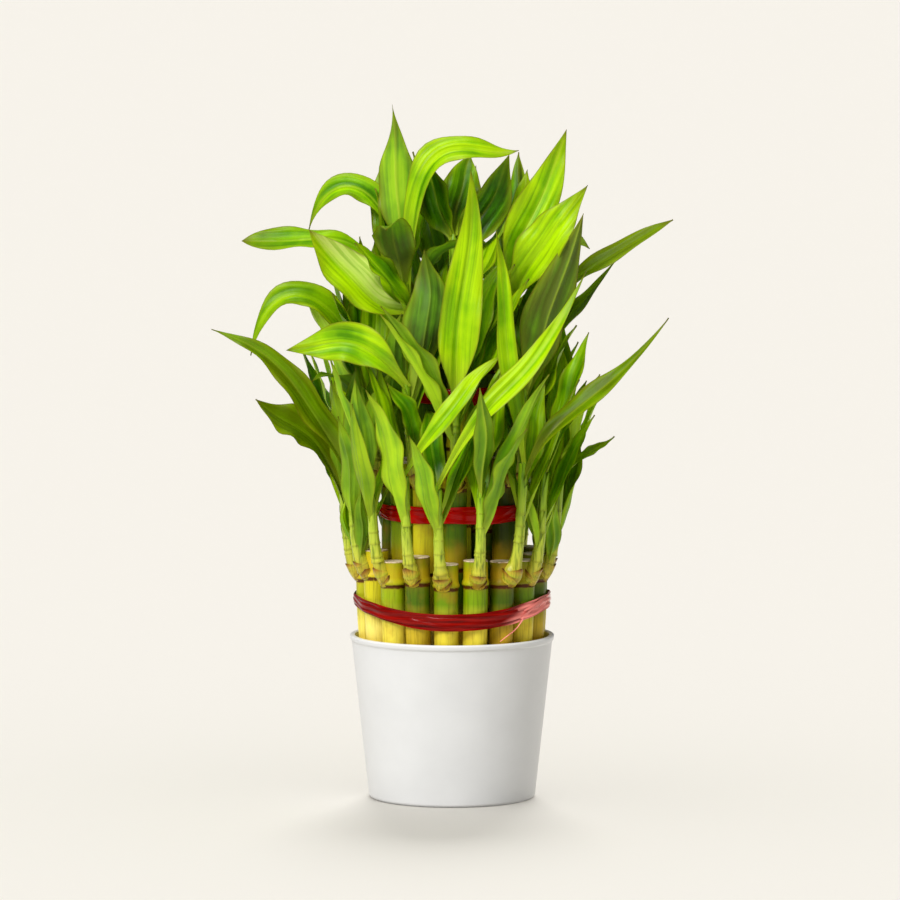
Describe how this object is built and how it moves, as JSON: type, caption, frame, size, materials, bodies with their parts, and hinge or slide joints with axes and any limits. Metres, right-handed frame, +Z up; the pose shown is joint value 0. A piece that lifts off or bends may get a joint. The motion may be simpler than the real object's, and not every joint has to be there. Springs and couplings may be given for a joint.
{
  "type": "potted lucky bamboo tower",
  "caption": "Tiered tower of cut bamboo-like canes with leafy green shoots, tied with red ribbon, standing in a white tapered pot of soil.",
  "frame": {"origin": "centre of the pot's flat foot, on the surface that the pot stands on", "axes": "+Z up along the pot's axis; -Y is the front, where the outer ribbon sags; +X to the right seen from the front"},
  "size_m": [0.202, 0.1398, 0.305],
  "materials": {
    "pot_white": "satin white",
    "soil": "rough dark potting soil",
    "ribbon": "glossy red ribbon",
    "plant": "waxy green leaves and yellow-green canes"
  },
  "bodies": {
    "root": {"pot": "pot_white", "soil": "soil", "outer_tie": "ribbon", "middle_tie": "ribbon", "inner_tie": "ribbon", "outer_plant_01": "plant", "outer_plant_02": "plant", "outer_plant_03": "plant", "outer_plant_04": "plant", "outer_plant_05": "plant", "outer_plant_06": "plant", "outer_plant_07": "plant", "outer_plant_08": "plant", "outer_plant_09": "plant", "outer_plant_10": "plant", "outer_plant_11": "plant", "outer_plant_12": "plant", "outer_plant_13": "plant", "outer_plant_14": "plant", "outer_plant_15": "plant", "outer_plant_16": "plant", "outer_plant_17": "plant", "outer_plant_18": "plant", "middle_plant_01": "plant", "middle_plant_03": "plant", "middle_plant_04": "plant", "middle_plant_05": "plant", "middle_plant_06": "plant", "middle_plant_07": "plant", "middle_plant_08": "plant", "middle_plant_09": "plant", "middle_plant_10": "plant", "middle_plant_11": "plant", "middle_plant_12": "plant", "inner_plant_01": "plant", "inner_plant_02": "plant", "inner_plant_03": "plant", "inner_plant_04": "plant", "inner_plant_05": "plant", "inner_plant_06": "plant", "centre_plant_01": "plant"}
  },
  "joints": []
}
